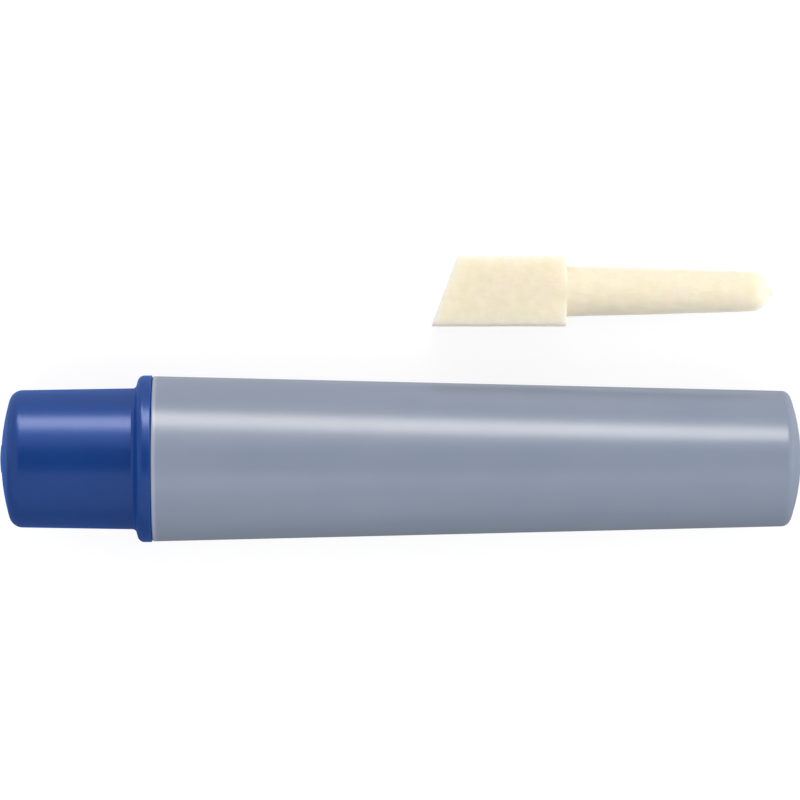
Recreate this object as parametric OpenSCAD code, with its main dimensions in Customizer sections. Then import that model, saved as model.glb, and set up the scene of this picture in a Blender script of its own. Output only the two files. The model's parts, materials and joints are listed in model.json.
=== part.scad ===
// Refill set for a fabric marking pen: an ink cartridge with its sealing cap, and a spare chisel nib.
// Lengths are in millimetres and angles in degrees. The set lies on the plane z = 0: the cartridge
// on its side with its cap towards -X, and the nib beside it towards +Y.
//
// The turned pieces are profiles round the cartridge's own axis. On that axis 0 is the barrel's open
// rim, the tail is at positive heights, and the neck and the cap are at negative ones.

/* [Barrel] */
// Length from the open rim to the domed end of the tail
barrel_length = 55.15; // [45:0.05:70]
// Outer diameter at the open rim
mouth_diameter = 14.06; // [13.6:0.02:16]
// Outer diameter that the taper comes down to at the tail
tail_diameter = 11.5; // [10.6:0.05:12]
// Thickness of the tapered wall
barrel_wall = 1.1; // [0.8:0.05:1.3]
// Thickness of the closed end
tail_wall = 1.3; // [0.9:0.1:2.5]
// Radius of the round between the taper and the domed end
tail_edge_radius = 0.75; // [0.3:0.05:1]
// Radius of the domed end
tail_dome_radius = 16; // [12:0.5:40]
// Radius of the round on the outside of the open rim
rim_radius = 0.15; // [0.1:0.05:0.6]
// Radius of the round inside the closed end
floor_radius = 0.6; // [0.2:0.1:1]

/* [Ribs in the barrel] */
// Number of ribs that centre the reservoir and leave air round it
rib_count = 6; // [3:1:8]
// Thickness of a rib
rib_thickness = 0.7; // [0.5:0.05:1]
// Height of a rib above the wall at its lowest, beside the tail end of the reservoir
rib_height = 0.25; // [0.15:0.05:0.5]
// Height of the ribs' feet, which hold the reservoir off the closed end
foot_height = 1.2; // [0.6:0.1:3]
// Radius left open between the feet
foot_opening_radius = 1.6; // [0.8:0.1:3]

/* [Neck collar] */
// Outer diameter of the neck, which the pen's front section slides on
neck_diameter = 9; // [8.4:0.1:9.6]
// Length of the neck beyond the shoulder
neck_length = 11.2; // [9:0.1:14]
// Thickness of the neck's wall
neck_wall = 0.8; // [0.6:0.05:1]
// Thickness of the shoulder, which is flush with the barrel's rim
shoulder_thickness = 1.2; // [0.8:0.1:2]
// Length of the skirt inside the barrel
skirt_length = 6; // [4:0.5:10]
// Thickness of the skirt
skirt_wall = 0.9; // [0.7:0.05:1]
// Length of the guide hole
guide_length = 4; // [3:0.1:5]
// Thickness of the guide tube
guide_wall = 0.75; // [0.6:0.05:0.9]
// Thickness of the web between the funnel and the cored pocket
web_thickness = 1.2; // [0.8:0.1:2]
// Height of the snap bead on the neck
neck_bead = 0.35; // [0.2:0.05:0.45]
// Distance from the shoulder to the middle of that bead
neck_bead_setback = 1.9; // [1.6:0.1:3]
// Height of the bead that locks the skirt in the barrel
skirt_bead = 0.2; // [0.1:0.02:0.3]
// Distance from the skirt's end to the middle of that bead
skirt_bead_inset = 2.4; // [1:0.1:3]
// Depth of the step that widens the barrel's bore into the collar's socket
socket_step = 0.12; // [0.05:0.01:0.2]
// Radius of the rounds at the neck's tip
neck_tip_radius = 0.3; // [0.1:0.05:0.35]
// Radius of the collar's and the cap's other rounds
small_round = 0.2; // [0.1:0.05:0.25]

/* [Cap] */
// Thickness of the cap's side wall at its root
cap_wall = 0.9; // [0.75:0.05:1.1]
// Thickness of the cap's end at the axis, without the gate boss
cap_end_wall = 1.3; // [1.2:0.05:2.5]
// Clear space between the neck and the cap's bore
cap_room = 0.6; // [0.55:0.05:0.9]
// Thickness of the flange at its root
flange_thickness = 1.4; // [1:0.05:3]
// How much thinner the flange is at its edge than at its root
flange_slant = 0.3; // [0:0.05:0.4]
// How far the flange stands out past the barrel's rim
flange_overhang = 0.06; // [0:0.02:0.5]
// Radius of the round on the flange's front edge
flange_edge_radius = 0.6; // [0.2:0.05:0.6]
// Radius of the round on the flange's rear edge, beside the barrel's rim
flange_rear_radius = 0.1; // [0.05:0.05:0.25]
// Radius of the fillet where the side wall meets the flange
cap_fillet_radius = 0.35; // [0.1:0.05:0.5]
// Draft of the outside of the side wall
cap_draft = 0.94; // [0:0.02:1.2]
// Draft of the bore
bore_draft = 0.15; // [0:0.05:0.5]
// Radius of the round at the cap's closed end
cap_edge_radius = 1.15; // [0.5:0.05:1.4]
// Radius of the domed end
cap_dome_radius = 18; // [12:0.5:40]
// Radius of the seal ring that meets the neck's rim
seal_ring_radius = 0.3; // [0.15:0.05:0.35]

/* [Gate bosses] */
// Radius of the low boss at the middle of the cap's end and of the barrel's end
boss_radius = 1.2; // [1:0.1:3]
// How far the cap's boss stands out past the dome
cap_boss_height = 0.1; // [0.05:0.05:0.4]
// How far the barrel's boss stands out past the dome
tail_boss_height = 0.05; // [0.05:0.05:0.4]
// Radius of a boss's own domed face
boss_dome_radius = 8; // [6:0.5:15]
// Radius of the round at a boss's edge
boss_edge_radius = 0.05; // [0.02:0.01:0.1]

/* [Reservoir] */
// Thickness of the film round the fibre core
film_thickness = 0.1; // [0.06:0.02:0.2]
// How far the core stands out of the film at each end
core_overhang = 0.3; // [0:0.1:1]

/* [Spare nib] */
// Width of the head
head_width = 6.03; // [4.8:0.01:8]
// Thickness of the head
head_thickness = 4.44; // [4.4:0.02:6]
// Length of the head along its long edge
head_length = 11.63; // [8:0.01:16]
// Angle of the writing edge from square
writing_angle = 20.5; // [0:0.5:35]
// Radius of the head's long edges
head_edge_radius = 0.35; // [0.1:0.05:0.8]
// Length of the tail
nib_tail_length = 17.4; // [12:0.01:24]
// Diameter of the tail beside the head
nib_root_diameter = 4.38; // [3.6:0.02:4.4]
// Diameter of the tail where its slow taper turns into the faster one
nib_middle_diameter = 4.08; // [3.5:0.02:4.3]
// Diameter that the tail comes down to at its end
nib_end_diameter = 3.4; // [2.8:0.02:3.6]
// Share of the tail's length that has the slow taper
slow_taper_share = 0.4; // [0.2:0.05:0.7]
// Radius of the round at the tail's end
nib_end_radius = 1.4; // [0.6:0.05:1.4]
// Diameter of the cut-off nub at the tail's end
nub_diameter = 0.85; // [0.4:0.05:1.2]
// Length of that nub
nub_length = 0.55; // [0.2:0.05:1]

/* [Layout] */
// Clear distance between the cartridge and the nib
nib_spacing = 4.24; // [2:0.02:20]
// Distance from the cap's end to the point of the nib's head, along X
nib_setback = 36.64; // [10:0.01:40]

/* [Fits] */
// Gap between the cap's flange and the barrel's rim
seam_gap = 0.05; // [0.02:0.01:0.1]
// Radial clearance of pieces that are pushed together and stay together
press_clearance = 0.03; // [0.01:0.01:0.06]
// Clearance between the snap beads, and between the seal ring and the neck
snap_clearance = 0.05; // [0.03:0.01:0.1]
// Gap along the neck between its bead and the cap's lip bead
lip_gap = 0.15; // [0.05:0.05:0.3]
// Gap between the skirt's end and the floor of its socket
socket_play = 0.15; // [0.05:0.05:0.3]
// Clearance round the reservoir and at its ends
reservoir_clearance = 0.05; // [0.02:0.01:0.15]
// Radial clearance between the nib's tail and the guide hole
guide_clearance = 0.16; // [0.1:0.02:0.4]

/* [Hidden] */
$fn = 96;

// Barrel: its taper, its socket for the collar's skirt and its floor
mouth_radius = mouth_diameter / 2;
taper = (mouth_diameter - tail_diameter) / 2 / barrel_length;
socket_depth = skirt_length + socket_play;
socket_radius = bore_radius(socket_depth) + socket_step;
skirt_radius = socket_radius - press_clearance;
skirt_bore_radius = skirt_radius - skirt_wall;
barrel_floor = barrel_length - tail_wall;

// Reservoir: as wide as both the ribs and the skirt leave it, from the shoulder to the ribs' feet
foot_top = barrel_floor - foot_height;
rib_crest_radius = min(bore_radius(foot_top) - rib_height, skirt_bore_radius);
reservoir_radius = rib_crest_radius - reservoir_clearance;
core_radius = reservoir_radius - film_thickness - press_clearance;
core_start = shoulder_thickness + reservoir_clearance;
core_end = foot_top - reservoir_clearance;

// Collar: the neck and the guide tube
neck_radius = neck_diameter / 2;
neck_bore_radius = neck_radius - neck_wall;
guide_radius = nib_root_diameter / 2 + guide_clearance;
guide_tube_radius = guide_radius + guide_wall;
guide_end = shoulder_thickness;
guide_start = guide_end - guide_length;
funnel_start = guide_start - (neck_bore_radius - guide_radius);
pocket_start = guide_start + web_thickness;
skirt_bead_height = skirt_length - skirt_bead_inset;

// Cap: its bore round the neck, and its outside from the flange to the domed end
bore_mouth_radius = neck_radius + cap_room;
cap_depth = neck_length + snap_clearance + seal_ring_radius;
bore_end_radius = bore_mouth_radius - cap_depth * tan(bore_draft);
cap_root_radius = bore_mouth_radius + cap_wall;
cap_length = cap_depth + cap_end_wall;
flange_radius = mouth_radius + flange_overhang;
flange_front = seam_gap + flange_thickness;
lip_crest_radius = neck_radius + neck_bead + snap_clearance;
lip_bead = bore_mouth_radius - lip_crest_radius;
lip_setback = neck_bead_setback - neck_bead - lip_gap - lip_bead;

// Outlines of the two domed ends, as two rounded corners each
tail_corners = domed_end(mouth_radius, taper, barrel_length, tail_edge_radius, tail_dome_radius);
cap_corners = domed_end(cap_root_radius + flange_front * tan(cap_draft), tan(cap_draft), cap_length,
                    cap_edge_radius, cap_dome_radius);

// The cartridge lies on the rounds of the flange's rear edge and of the tail
tail_round = round_centre([mouth_radius, 0], place(tail_corners[0]), place(tail_corners[1]),
                 tail_edge_radius);
flange_round = [flange_radius - flange_rear_radius, -seam_gap - flange_rear_radius];
lie_run = tail_round - flange_round;
lie_angle = acos((tail_edge_radius - flange_rear_radius) / norm(lie_run)) - atan2(lie_run[1], -lie_run[0]);
axis_height = flange_round * [cos(lie_angle), sin(lie_angle)] + flange_rear_radius;
cap_end = cap_length + cap_boss_height;
tail_end = barrel_length + tail_boss_height;
seam_x = (cap_end - tail_end) * cos(lie_angle) / 2;
cap_end_x = seam_x - cap_end * cos(lie_angle);

// The nib beside it, and the set centred on the origin
nib_offset = flange_radius + nib_spacing + head_width / 2;
axis_y = (flange_radius - nib_offset - head_width / 2) / 2;
nib_tip_x = cap_end_x + nib_setback;
writing_slope = head_width * tan(writing_angle);

// Radius of the barrel's bore at a height
function bore_radius(height) = mouth_radius - taper * height - barrel_wall;

// A profile's corner is [radius from the axis, height, radius of its round]
function place(corner) = [corner[0], corner[1]];

function toward(from, to) = (to - from) / norm(to - from);

function half_angle(before, corner, after) = acos(toward(corner, before) * toward(corner, after)) / 2;

function bisector(before, corner, after) =
    let (sum = toward(corner, before) + toward(corner, after)) sum / norm(sum);

// Centre of the round of a given radius in a corner
function round_centre(before, corner, after, radius) =
    corner + bisector(before, corner, after) * radius / sin(half_angle(before, corner, after));

// Corners of a wall that narrows by slope per millimetre and is closed by a dome at the given end.
// The dome is the round of the last corner, whose centre is on the axis.
function domed_end(start_radius, slope, end, edge_radius, dome_radius) =
    let (
        edge_angle = asin((start_radius - slope * end - edge_radius) / dome_radius),
        middle = dome_radius * tan(edge_angle / 2),
        rise = tan(edge_angle),
        edge = (start_radius - slope * end - slope * middle * rise) / (1 - slope * rise)
    )
    [[edge, end - (edge - middle) * rise, edge_radius], [middle, end, dome_radius]];

// The sliver between a corner and its round. It is cut from a convex corner, and it fills a hollow
// one, whose neighbours are given in the other order so that the sliver is anticlockwise too.
module corner_sliver(before, corner, after, radius) {
    reach = radius / tan(half_angle(before, corner, after));
    if (radius > 0) {
        difference() {
            polygon([
                corner + toward(corner, before) * reach,
                corner - bisector(before, corner, after) * radius,
                corner + toward(corner, after) * reach
            ]);
            translate(round_centre(before, corner, after, radius)) circle(r = radius);
        }
    }
}

// A closed outline, given anticlockwise, with a true arc at each corner that states a radius
module rounded(corners) {
    count = len(corners);
    points = [for (corner = corners) place(corner)];
    before = [for (i = [0:count - 1]) points[(i + count - 1) % count]];
    after = [for (i = [0:count - 1]) points[(i + 1) % count]];
    turns = [for (i = [0:count - 1]) cross(points[i] - before[i], after[i] - points[i])];
    difference() {
        union() {
            polygon(points);
            for (i = [0:count - 1]) {
                if (turns[i] < 0) corner_sliver(after[i], points[i], before[i], corners[i][2]);
            }
        }
        for (i = [0:count - 1]) {
            if (turns[i] > 0) corner_sliver(before[i], points[i], after[i], corners[i][2]);
        }
    }
}

// Round section of a bead, or of its groove, whose middle is on a wall
module bead_section(wall_radius, height, radius) {
    translate([wall_radius, height]) circle(r = radius);
}

// Low domed boss on a closed end, rooted halfway through that end's wall
module boss_section(end, wall, height) {
    face = domed_end(boss_radius, 0, end + height, boss_edge_radius, boss_dome_radius);
    rounded([
        [0, end - wall / 2, 0],
        [boss_radius, end - wall / 2, 0],
        face[0],
        face[1],
        [0, end + height, 0]
    ]);
}

// Places a turned piece as the cartridge lies
module laid() {
    translate([seam_x, axis_y, axis_height]) rotate([0, 90 + lie_angle, 0]) children();
}

// The inside of the barrel below its socket, grown into the wall by some distance
module barrel_cavity(grow) {
    rotate_extrude() rounded([
        [0, skirt_length, 0],
        [bore_radius(skirt_length) + grow, skirt_length, 0],
        [bore_radius(barrel_floor) + grow, barrel_floor + grow, floor_radius],
        [0, barrel_floor + grow, 0]
    ]);
}

module barrel_shell() {
    rotate_extrude() {
        difference() {
            rounded([
                [socket_radius, 0, 0],
                [mouth_radius, 0, rim_radius],
                tail_corners[0],
                tail_corners[1],
                [0, barrel_length, 0],
                [0, barrel_floor, 0],
                [bore_radius(barrel_floor), barrel_floor, floor_radius],
                [bore_radius(socket_depth), socket_depth, 0],
                [socket_radius, socket_depth, 0]
            ]);
            bead_section(skirt_radius, skirt_bead_height, skirt_bead + press_clearance);
        }
        boss_section(barrel_length, tail_wall, tail_boss_height);
    }
}

module barrel_ribs() {
    difference() {
        intersection() {
            barrel_cavity(barrel_wall / 2);
            for (i = [0:rib_count - 1]) {
                rotate([0, 0, i * 360 / rib_count])
                    translate([0, -rib_thickness / 2, skirt_length + press_clearance])
                        cube([mouth_radius, rib_thickness, barrel_length]);
            }
        }
        cylinder(r = rib_crest_radius, h = foot_top);
        cylinder(r = foot_opening_radius, h = barrel_length);
    }
}

module barrel() {
    color("#8a93a5") laid() {
        barrel_shell();
        barrel_ribs();
    }
}

module neck_collar() {
    color("#e4e6e4") laid() rotate_extrude() {
        rounded([
            [neck_bore_radius, -neck_length, neck_tip_radius],
            [neck_radius, -neck_length, neck_tip_radius],
            [neck_radius, 0, small_round],
            [skirt_radius, 0, small_round],
            [skirt_radius, skirt_length, small_round],
            [skirt_bore_radius, skirt_length, small_round],
            [skirt_bore_radius, shoulder_thickness, small_round],
            [neck_bore_radius, shoulder_thickness, 0],
            [neck_bore_radius, pocket_start, small_round],
            [guide_tube_radius, pocket_start, small_round],
            [guide_tube_radius, guide_end, small_round],
            [guide_radius, guide_end, 0],
            [guide_radius, guide_start, 0],
            [neck_bore_radius, funnel_start, 0]
        ]);
        bead_section(neck_radius, -neck_bead_setback, neck_bead);
        bead_section(skirt_radius, skirt_bead_height, skirt_bead);
    }
}

module reservoir_core() {
    color("#1f3d86") laid()
        translate([0, 0, core_start]) cylinder(r = core_radius, h = core_end - core_start);
}

module reservoir_film() {
    color("#dfe4ea") laid() rotate_extrude()
        translate([core_radius + press_clearance, core_start + core_overhang])
            square([film_thickness, core_end - core_start - 2 * core_overhang]);
}

module cap() {
    color("#28478a") laid() mirror([0, 0, 1]) rotate_extrude() {
        rounded([
            [0, cap_length, 0],
            [0, cap_depth, 0],
            [bore_end_radius, cap_depth, small_round],
            [bore_mouth_radius, seam_gap, small_round],
            [flange_radius, seam_gap, flange_rear_radius],
            [flange_radius, flange_front - flange_slant, flange_edge_radius],
            [cap_root_radius, flange_front, cap_fillet_radius],
            cap_corners[0],
            cap_corners[1]
        ]);
        bead_section(bore_mouth_radius, lip_setback, lip_bead);
        bead_section((neck_radius + neck_bore_radius) / 2, cap_depth, seal_ring_radius);
        boss_section(cap_length, cap_end_wall, cap_boss_height);
    }
}

// Outline of the head from above: square at the shoulder, slanted at the writing edge
module head_outline() {
    polygon([
        [0, -head_width / 2],
        [head_length, -head_width / 2],
        [head_length, head_width / 2],
        [writing_slope, head_width / 2]
    ]);
}

// Cross-section of the head's stock, with its height along the second axis
module head_section() {
    rounded([
        [-head_width / 2, 0, head_edge_radius],
        [head_width / 2, 0, head_edge_radius],
        [head_width / 2, head_thickness, head_edge_radius],
        [-head_width / 2, head_thickness, head_edge_radius]
    ]);
}

module nib_head() {
    intersection() {
        linear_extrude(head_thickness) head_outline();
        rotate([90, 0, 90]) linear_extrude(head_length) head_section();
    }
}

module nib_tail() {
    middle = nib_tail_length * slow_taper_share;
    rotate_extrude() {
        rounded([
            [0, -head_thickness / 2, 0],
            [nib_root_diameter / 2, -head_thickness / 2, 0],
            [nib_root_diameter / 2, 0, 0],
            [nib_middle_diameter / 2, middle, 0],
            [nib_end_diameter / 2, nib_tail_length, nib_end_radius],
            [0, nib_tail_length, 0]
        ]);
        square([nub_diameter / 2, nib_tail_length + nub_length]);
    }
}

module spare_nib() {
    color("#f2e9cd") translate([nib_tip_x, axis_y + nib_offset, 0]) {
        nib_head();
        translate([head_length, 0, head_thickness / 2]) rotate([0, 90, 0]) nib_tail();
    }
}

barrel();
neck_collar();
reservoir_core();
reservoir_film();
cap();
spare_nib();
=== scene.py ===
"""Looks of the marking pen refill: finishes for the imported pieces, a fibre nib and the stage."""
import json
import math

import bmesh
import bpy
from mathutils import Matrix, Vector, noise


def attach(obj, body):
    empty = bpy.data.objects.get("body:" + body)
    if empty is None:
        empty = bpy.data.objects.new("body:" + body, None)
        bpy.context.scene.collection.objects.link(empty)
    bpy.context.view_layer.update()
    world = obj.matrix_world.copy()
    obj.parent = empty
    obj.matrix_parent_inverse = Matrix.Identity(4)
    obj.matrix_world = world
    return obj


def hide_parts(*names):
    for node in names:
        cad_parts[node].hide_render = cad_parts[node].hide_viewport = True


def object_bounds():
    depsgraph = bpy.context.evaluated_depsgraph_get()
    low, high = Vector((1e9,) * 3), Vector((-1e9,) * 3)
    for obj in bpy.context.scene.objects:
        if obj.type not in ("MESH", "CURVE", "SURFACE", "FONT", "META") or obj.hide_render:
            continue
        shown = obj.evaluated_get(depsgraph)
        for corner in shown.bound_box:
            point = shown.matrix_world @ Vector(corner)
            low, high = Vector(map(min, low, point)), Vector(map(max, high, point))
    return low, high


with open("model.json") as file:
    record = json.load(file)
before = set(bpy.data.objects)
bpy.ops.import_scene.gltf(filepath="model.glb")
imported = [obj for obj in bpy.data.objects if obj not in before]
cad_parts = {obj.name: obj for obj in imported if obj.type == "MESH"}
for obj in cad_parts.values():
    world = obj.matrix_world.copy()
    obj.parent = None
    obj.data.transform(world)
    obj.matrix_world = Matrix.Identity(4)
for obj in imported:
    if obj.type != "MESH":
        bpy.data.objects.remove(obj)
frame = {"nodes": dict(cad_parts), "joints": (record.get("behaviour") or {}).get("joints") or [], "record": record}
cad_low, cad_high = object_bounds()

MM = 0.001

# The cartridge's axis, from the joint that pulls the cap off and a mount that lies on the axis
joints = {joint["name"]: joint for joint in frame["joints"]}
mounts = {mount["name"]: mount for mount in frame["record"]["mounts"]}
cap_way = Vector(joints["cap_pull"]["axis"]).normalized()
axis_point = Vector(mounts["neck"]["pos_m"])


# ---------------------------------------------------------------- node materials

class Recipe:
    """A material whose nodes are added one call at a time."""

    def __init__(self, name):
        self.material = bpy.data.materials.new(name)
        self.material.use_nodes = True
        self.nodes = self.material.node_tree.nodes
        self.links = self.material.node_tree.links
        self.shader = self.nodes["Principled BSDF"]
        self.output = self.nodes["Material Output"]

    def set(self, node, inputs):
        """Sets a node's inputs by name or number: an output is linked, anything else is a value."""
        for key, value in inputs.items():
            if isinstance(value, bpy.types.NodeSocket):
                self.links.new(value, node.inputs[key])
            else:
                node.inputs[key].default_value = value

    def add(self, kind, inputs, **settings):
        """A new node, with its settings made before its inputs are."""
        node = self.nodes.new("ShaderNode" + kind)
        for name, value in settings.items():
            setattr(node, name, value)
        self.set(node, inputs)
        return node

    def place(self, matrix=Matrix.Identity(4), scale=(1, 1, 1)):
        """Coordinates in millimetres that stay with the piece, turned by the matrix, then scaled."""
        where = self.add("TexCoord", {}).outputs["Object"]
        turned = self.add("Mapping", {
            "Vector": where,
            "Location": matrix.to_translation(),
            "Rotation": matrix.to_euler(),
        }).outputs["Vector"]
        size = Vector(scale) / MM
        return self.add("Mapping", {"Vector": turned, "Scale": size}).outputs["Vector"]

    def noise(self, where, scale, detail=2.0, roughness=0.5, distortion=0.0):
        """Noise from 0 to 1, with scale in cells per millimetre."""
        return self.add("TexNoise", {
            "Vector": where,
            "Scale": scale,
            "Detail": detail,
            "Roughness": roughness,
            "Distortion": distortion,
        }).outputs["Fac"]

    def remap(self, value, low, high, to_low, to_high):
        """The part of value from low to high, spread over to_low to to_high."""
        return self.add("MapRange", {
            "Value": value,
            "From Min": low,
            "From Max": high,
            "To Min": to_low,
            "To Max": to_high,
        }).outputs["Result"]

    def blend(self, share, first, second):
        """The first colour, mixed with the second one to the given share."""
        node = self.add("Mix", {}, data_type="RGBA")
        self.set(node, {"Factor": share, 6: first, 7: second})
        return node.outputs[2]

    def edges(self, radius):
        """0 on flat stretches, rising to 1 where an edge is sharper than the radius."""
        round_normal = self.add("Bevel", {"Radius": radius * MM}, samples=6).outputs["Normal"]
        true_normal = self.add("NewGeometry", {}).outputs["Normal"]
        likeness = self.add("VectorMath", {0: round_normal, 1: true_normal},
                            operation="DOT_PRODUCT").outputs["Value"]
        return self.remap(likeness, 1.0, 0.85, 0.0, 1.0)

    def bump(self, height, depth):
        """A surface relief, with depth in millimetres between height 0 and height 1."""
        inputs = {"Height": height, "Strength": 1.0, "Distance": depth * MM}
        return self.add("Bump", inputs).outputs["Normal"]

    def finish(self, **inputs):
        """Sets the shader's own sockets, named with _ for a space."""
        self.set(self.shader, {name.replace("_", " "): value for name, value in inputs.items()})
        return self.material


def srgb(red, green, blue):
    """A colour given as it looks on a screen, from 0 to 255, as the shader's linear colour."""
    def linear(level):
        level /= 255
        return level / 12.92 if level <= 0.04045 else ((level + 0.055) / 1.055) ** 2.4
    return (linear(red), linear(green), linear(blue), 1.0)


def along_axis():
    """Turns the row frame into one whose X is the cartridge's axis, towards the tail."""
    turn = (-cap_way).to_track_quat("X", "Z").to_matrix().to_4x4()
    return turn.inverted() @ Matrix.Translation(-axis_point)


CARTRIDGE = along_axis()

# Where the barrel starts, along the axis from the neck mount in millimetres
BARREL_RIM = min((CARTRIDGE @ point.co).x for point in frame["nodes"]["barrel"].data.vertices) / MM


def moulded_plastic(name, colour, deep, pale, roughness, grain, rim=None, **shader):
    """Moulded plastic: slightly cloudy, with faint flow along the axis and fine grain. Its edges and fillets are
    paler: partly edge wear, partly a painted highlight.
    Rim, if given, is where the piece starts along the axis: a narrow band from there is paler, a painted highlight
    on the rim's edge."""
    r = Recipe(name)
    where = r.place(CARTRIDGE)
    drawn = r.place(CARTRIDGE, (0.1, 1, 1))
    cloud = r.noise(where, 0.22, detail=3.0)
    flow = r.noise(drawn, 0.5, detail=0.0)
    fine = r.noise(where, 16.0, detail=2.0)
    tone = r.blend(r.remap(cloud, 0.35, 0.65, 0.0, 0.6), srgb(*colour), srgb(*deep))
    tone = r.blend(r.remap(flow, 0.45, 0.75, 0.0, 0.05), tone, srgb(*pale))
    # Paler edges and fillets: partly edge wear, partly a painted highlight where edges catch light
    worn_edges_and_highlight = r.remap(r.edges(0.3), 0.0, 1.0, 0.0, 0.8)
    tone = r.blend(worn_edges_and_highlight, tone, srgb(*pale))
    # Painted highlight: a pale band just past the rim, standing in for light caught by the rim's rounded edge
    if rim is not None:
        along = r.add("SeparateXYZ", {0: where}).outputs["X"]
        band_start, band_end = rim + 0.25, rim + 0.45
        tone = r.blend(r.remap(along, band_start, band_end, 0.38, 0.0), tone, srgb(*pale))
    uneven = 0.02
    polish = r.remap(r.noise(where, 1.4, detail=2.0), 0.3, 0.7,
                     roughness - uneven, roughness + uneven)
    look = {"Base_Color": tone, "Roughness": polish, "Coat_Roughness": roughness,
            "Normal": r.bump(fine, grain)}
    look.update(shader)
    return r.finish(**look)


barrel_plastic = moulded_plastic(
    "barrel_plastic", (129, 140, 158), (126, 137, 156), (176, 182, 205), 0.25, 0.0008,
    rim=BARREL_RIM, Specular_IOR_Level=0.0, Coat_Weight=0.3, Coat_IOR=2.0)
cap_plastic = moulded_plastic(
    "cap_plastic", (20, 61, 129), (17, 58, 124), (30, 78, 152), 0.25, 0.0005,
    Roughness=0.4, Specular_IOR_Level=0.0, Metallic=0.2, Coat_Weight=0.088, Coat_IOR=3.0,
    Sheen_Weight=0.5, Sheen_Roughness=0.3, Sheen_Tint=(0.0, 0.22, 1.0, 1.0),
    Subsurface_Weight=0.25, Subsurface_Scale=0.0012, Subsurface_Radius=(0.2, 0.45, 1.0))
collar_plastic = moulded_plastic(
    "collar_plastic", (226, 226, 220), (219, 220, 214), (234, 234, 230), 0.34, 0.0008,
    Specular_IOR_Level=0.3, Subsurface_Weight=0.15, Subsurface_Scale=0.0008,
    Subsurface_Radius=(1.0, 0.9, 0.8))


def assign(node, material):
    """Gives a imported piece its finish."""
    slots = frame["nodes"][node].data.materials
    slots.clear()
    slots.append(material)


def ink_fibre():
    """Ink-soaked fibre: strands along the cartridge's axis, seen end on as a fine pile."""
    r = Recipe("ink_fibre")
    strands = r.place(CARTRIDGE, (0.04, 1, 1))
    strand = r.noise(strands, 9.0, detail=3.0)
    cloud = r.noise(strands, 0.9, detail=2.0)
    tone = r.blend(r.remap(strand, 0.35, 0.65, 0.0, 1.0), srgb(16, 32, 92), srgb(34, 62, 148))
    tone = r.blend(r.remap(cloud, 0.4, 0.7, 0.0, 0.4), tone, srgb(10, 20, 66))
    return r.finish(Base_Color=tone, Roughness=r.remap(strand, 0.3, 0.7, 0.55, 0.8),
                    Normal=r.bump(strand, 0.05), Sheen_Weight=0.1)


def wrap_film():
    """Thin film round the core, slightly crinkled."""
    r = Recipe("wrap_film")
    where = r.place(CARTRIDGE, (0.3, 1, 1))
    crinkle = r.noise(where, 1.4, detail=4.0)
    tone = r.blend(r.remap(crinkle, 0.35, 0.65, 0.0, 1.0), srgb(206, 214, 228), srgb(224, 229, 238))
    return r.finish(Base_Color=tone, Roughness=r.remap(crinkle, 0.3, 0.7, 0.18, 0.26),
                    Normal=r.bump(crinkle, 0.02), Alpha=0.6)


def nib_fibre():
    """Pressed fibre: cream and mottled, with short strands along the nib and a few dark specks."""
    r = Recipe("nib_fibre")
    strands = r.place(scale=(0.3, 1, 1))
    where = r.place()
    strand = r.noise(strands, 8.0, detail=4.0, roughness=0.6, distortion=0.6)
    mottle = r.noise(where, 1.1, detail=3.0)
    warm = r.noise(where, 0.5, detail=2.0)
    speck = r.noise(where, 2.6, detail=2.0)
    tone = r.blend(r.remap(mottle, 0.38, 0.62, 0.0, 1.0), srgb(233, 226, 204), srgb(229, 221, 197))
    tone = r.blend(r.remap(warm, 0.5, 0.7, 0.0, 0.6), tone, srgb(235, 222, 208))
    tone = r.blend(r.remap(speck, 0.64, 0.76, 0.0, 0.5), tone, srgb(226, 215, 189))
    tone = r.blend(r.remap(strand, 0.3, 0.5, 0.25, 0.0), tone, srgb(222, 212, 185))
    return r.finish(Base_Color=tone, Roughness=r.remap(strand, 0.3, 0.7, 0.75, 0.95),
                    Normal=r.bump(strand, 0.02), Specular_IOR_Level=0.2, Sheen_Weight=0.7,
                    Sheen_Roughness=0.4, Sheen_Tint=(1.0, 0.97, 0.9, 1.0), Subsurface_Weight=0.9,
                    Subsurface_Scale=0.003, Subsurface_Radius=(1.0, 0.9, 0.75))


assign("barrel", barrel_plastic)
assign("cap", cap_plastic)
assign("neck_collar", collar_plastic)
assign("reservoir_core", ink_fibre())
assign("reservoir_film", wrap_film())

for part in frame["nodes"].values():
    part.data.polygons.foreach_set("use_smooth", [True] * len(part.data.polygons))


# ---------------------------------------------------------------- nib

def remeshed(source, name, voxel):
    """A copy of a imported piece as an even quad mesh, with voxel and points in millimetres."""
    piece = bpy.data.objects.new(name, source.data.copy())
    bpy.context.scene.collection.objects.link(piece)
    piece.data.transform(Matrix.Scale(1 / MM, 4))
    remesh = piece.modifiers.new("remesh", "REMESH")
    remesh.mode = "VOXEL"
    remesh.voxel_size = voxel
    remesh.use_smooth_shade = True
    evaluated = piece.evaluated_get(bpy.context.evaluated_depsgraph_get())
    even = bpy.data.meshes.new_from_object(evaluated)
    piece.modifiers.clear()
    piece.data = even
    return piece


def soften(mesh, rounds):
    """Wears the edges of a mesh down by smoothing it."""
    bm = bmesh.new()
    bm.from_mesh(mesh)
    for _ in range(rounds):
        bmesh.ops.smooth_vert(bm, verts=bm.verts, factor=0.5, use_axis_x=True, use_axis_y=True,
                              use_axis_z=True)
    bm.to_mesh(mesh)
    bm.free()


def strand_noise(point, along, across):
    """Noise from -1 to 1 at a point in millimetres, in cells per millimetre along and across."""
    return noise.noise(Vector((point.x * along, point.y * across, point.z * across)))


def fibre_relief(point):
    """Height of the fibres at a point in millimetres, from -1 to 1: strands along the nib."""
    return 0.5 * strand_noise(point, 0.35, 1.6) + 0.5 * strand_noise(point, 1.5, 6.0)


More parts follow.
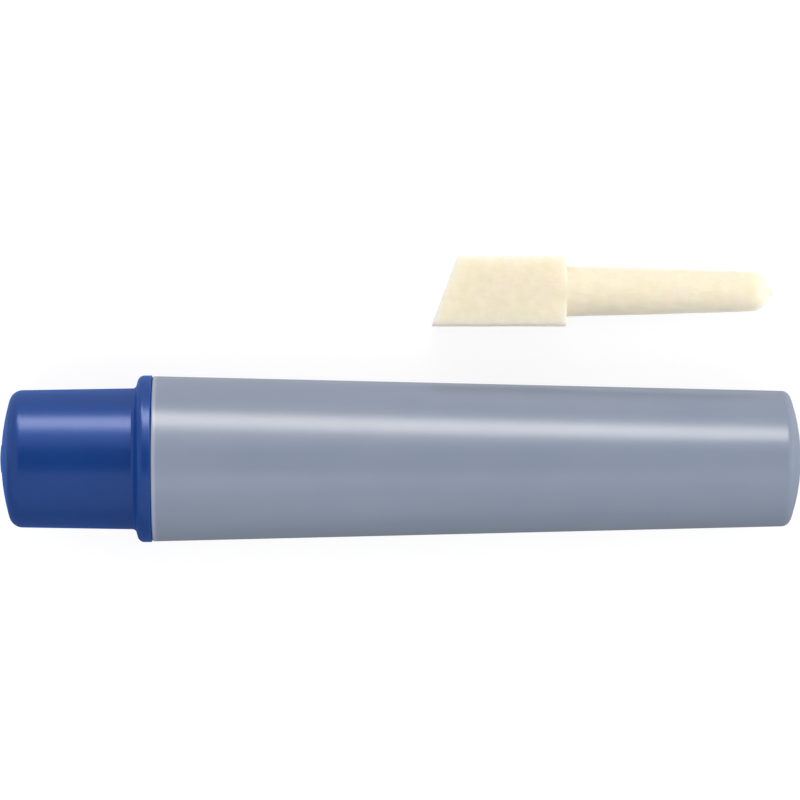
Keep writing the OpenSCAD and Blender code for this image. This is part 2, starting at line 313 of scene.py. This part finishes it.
def make_nib():
    """The nib as pressed fibre: worn edges and a relief of fibres, flat where it lies."""
    voxel, wear_rounds, depth = 0.1, 4, 0.035
    nib = remeshed(frame["nodes"]["spare_nib"], "fibre_nib", voxel)
    soften(nib.data, wear_rounds)
    mesh = nib.data
    moved = []
    for vertex in mesh.vertices:
        point = vertex.co + vertex.normal * (depth * (fibre_relief(vertex.co) - 1))
        moved.extend((point.x, point.y, max(point.z, 0.0)))
    mesh.vertices.foreach_set("co", moved)
    mesh.transform(Matrix.Scale(MM, 4))
    mesh.polygons.foreach_set("use_smooth", [True] * len(mesh.polygons))
    mesh.materials.clear()
    mesh.materials.append(nib_fibre())
    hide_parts("spare_nib")
    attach(nib, "nib")


make_nib()


# ---------------------------------------------------------------- floor

def floor_material():
    """Pale floor: plain white to the eye, with the object's shadow kept. It throws less light back
    on the side towards -Y, as if a grey card lay there."""
    r = Recipe("floor")
    r.nodes.remove(r.shader)
    path = r.add("LightPath", {})
    where = r.place()
    across = r.add("SeparateXYZ", {0: where}).outputs["Y"]
    dark_up_to, pale_from = -10.0, 6.0
    side = r.remap(across, dark_up_to, pale_from, 0.0, 1.0)
    grey, pale = (0.16, 0.15, 0.12, 1.0), (0.92, 0.9, 0.86, 1.0)
    tone = r.blend(side, grey, pale)
    tone = r.blend(r.remap(r.noise(where, 0.004, detail=3.0), 0.3, 0.7, 0.0, 0.08), tone,
                   (0.0, 0.0, 0.0, 1.0))
    plain = r.add("BsdfDiffuse", {"Color": tone}).outputs[0]
    shaded = r.add("BsdfDiffuse", {"Color": (0.26, 0.26, 0.27, 1.0)}).outputs[0]
    card = r.remap(side, 0.0, 1.0, 0.25, 1.0)
    strength = r.add("Mix", {"Factor": path.outputs["Is Glossy Ray"], "A": 0.8,
                             "B": card}).outputs[0]
    glow = r.add("Emission", {"Color": (1.0, 1.0, 1.0, 1.0), "Strength": strength}).outputs[0]
    seen = r.add("AddShader", {0: shaded, 1: glow}).outputs[0]
    looked_at = r.add("Math", {0: path.outputs["Is Camera Ray"], 1: path.outputs["Is Glossy Ray"]},
                      operation="MAXIMUM").outputs[0]
    looked_at = r.add("Math", {0: looked_at, 1: path.outputs["Is Transmission Ray"]},
                      operation="MAXIMUM").outputs[0]
    mixed = r.add("MixShader", {0: looked_at, 1: plain, 2: seen}).outputs[0]
    r.links.new(mixed, r.output.inputs["Surface"])
    return r.material


def make_floor():
    """A wide flat floor that the set lies on."""
    reach = 3.0
    mesh = bpy.data.meshes.new("floor")
    corners = [(-reach, -reach, 0), (reach, -reach, 0), (reach, reach, 0), (-reach, reach, 0)]
    mesh.from_pydata(corners, [], [(0, 1, 2, 3)])
    floor = bpy.data.objects.new("floor", mesh)
    bpy.context.scene.collection.objects.link(floor)
    mesh.materials.append(floor_material())


make_floor()


# ---------------------------------------------------------------- light

def area_light(name, bearing, lean, distance, size, radiance, turn=0.0, diffuse=True, glossy=True,
               colour=(1.0, 1.0, 1.0)):
    """A rectangular lamp aimed at the set: bearing round from +X, lean down from straight above."""
    lamp = bpy.data.lights.new(name, "AREA")
    lamp.shape = "RECTANGLE"
    lamp.size, lamp.size_y = size
    lamp.energy = radiance * math.pi * size[0] * size[1]
    lamp.color = colour
    light = bpy.data.objects.new(name, lamp)
    bpy.context.scene.collection.objects.link(light)
    round_z, down = math.radians(bearing), math.radians(lean)
    flat = math.sin(down)
    away = Vector((math.cos(round_z) * flat, math.sin(round_z) * flat, math.cos(down)))
    light.location = axis_point + away * distance
    aim = away.to_track_quat("Z", "Y").to_matrix().to_4x4()
    light.rotation_euler = (aim @ Matrix.Rotation(math.radians(turn), 4, "Z")).to_euler()
    light.visible_camera = False
    light.visible_diffuse = diffuse
    light.visible_glossy = glossy


area_light("strip", bearing=85, lean=56, distance=0.3, size=(0.34, 0.084), radiance=12.0, turn=-37,
           diffuse=False, colour=(1.0, 0.92, 0.83))
area_light("fill", bearing=90, lean=58, distance=0.6, size=(0.6, 0.3), radiance=1.05,
           glossy=False, colour=(1.0, 0.84, 0.8))
area_light("end", bearing=0, lean=83, distance=0.5, size=(0.3, 0.1), radiance=9.0,
           glossy=False)
area_light("overhead", bearing=270, lean=28, distance=0.6, size=(0.5, 0.3), radiance=1.85,
           glossy=False)


def make_hood():
    """Dark card above the camera, which the tops of glossy pieces mirror."""
    side, height = 0.33, 0.46
    mesh = bpy.data.meshes.new("hood")
    bm = bmesh.new()
    bmesh.ops.create_grid(bm, x_segments=1, y_segments=1, size=side / 2,
                          matrix=Matrix.Translation((0, axis_point.y, height)))
    bm.to_mesh(mesh)
    bm.free()
    hood = bpy.data.objects.new("hood", mesh)
    bpy.context.scene.collection.objects.link(hood)
    r = Recipe("hood")
    mesh.materials.append(r.finish(Base_Color=(0.02, 0.02, 0.02, 1.0), Roughness=0.9))
    hood.visible_camera = False
    hood.visible_diffuse = False
    hood.visible_shadow = False


make_hood()


def make_world():
    """An even, soft studio: darker towards -Y, nearly white in mirrors, white to the eye."""
    world = bpy.data.worlds.new("studio")
    world.use_nodes = True
    nodes, links = world.node_tree.nodes, world.node_tree.links
    background = nodes["Background"]
    path = nodes.new("ShaderNodeLightPath")
    where = nodes.new("ShaderNodeTexCoord")
    split = nodes.new("ShaderNodeSeparateXYZ")
    links.new(where.outputs["Generated"], split.inputs[0])
    side = nodes.new("ShaderNodeMapRange")
    front_level, back_level = 0.66, 1.02
    side.inputs["From Min"].default_value = -1.0
    side.inputs["From Max"].default_value = 1.0
    side.inputs["To Min"].default_value = front_level
    side.inputs["To Max"].default_value = back_level
    links.new(split.outputs["Y"], side.inputs["Value"])
    strength = side.outputs["Result"]
    mirrored_level, seen_level = 0.9, 1.0
    for ray, level in (("Is Glossy Ray", mirrored_level), ("Is Camera Ray", seen_level)):
        mix = nodes.new("ShaderNodeMix")
        links.new(path.outputs[ray], mix.inputs["Factor"])
        links.new(strength, mix.inputs["A"])
        mix.inputs["B"].default_value = level
        strength = mix.outputs[0]
    links.new(strength, background.inputs["Strength"])
    background.inputs["Color"].default_value = (1.0, 1.0, 1.0, 1.0)
    bpy.context.scene.world = world


make_world()


# ---------------------------------------------------------------- camera

def make_camera():
    """Straight above the set, with the tips of both domed ends at the picture's edges."""
    height, crop = 0.39, 0.05 * MM
    aside, past_axis = -0.1 * MM, 5.0 * MM
    camera = bpy.data.cameras.new("camera")
    half_view = (cad_high.x - cad_low.x) / 2 - crop
    camera.angle = 2 * math.atan(half_view / height)
    holder = bpy.data.objects.new("camera", camera)
    holder.location = (aside, axis_point.y + past_axis, axis_point.z + height)
    camera.clip_start, camera.clip_end = 0.01, 20.0
    bpy.context.scene.collection.objects.link(holder)
    bpy.context.scene.camera = holder


make_camera()
bpy.context.scene.view_settings.view_transform = "Standard"
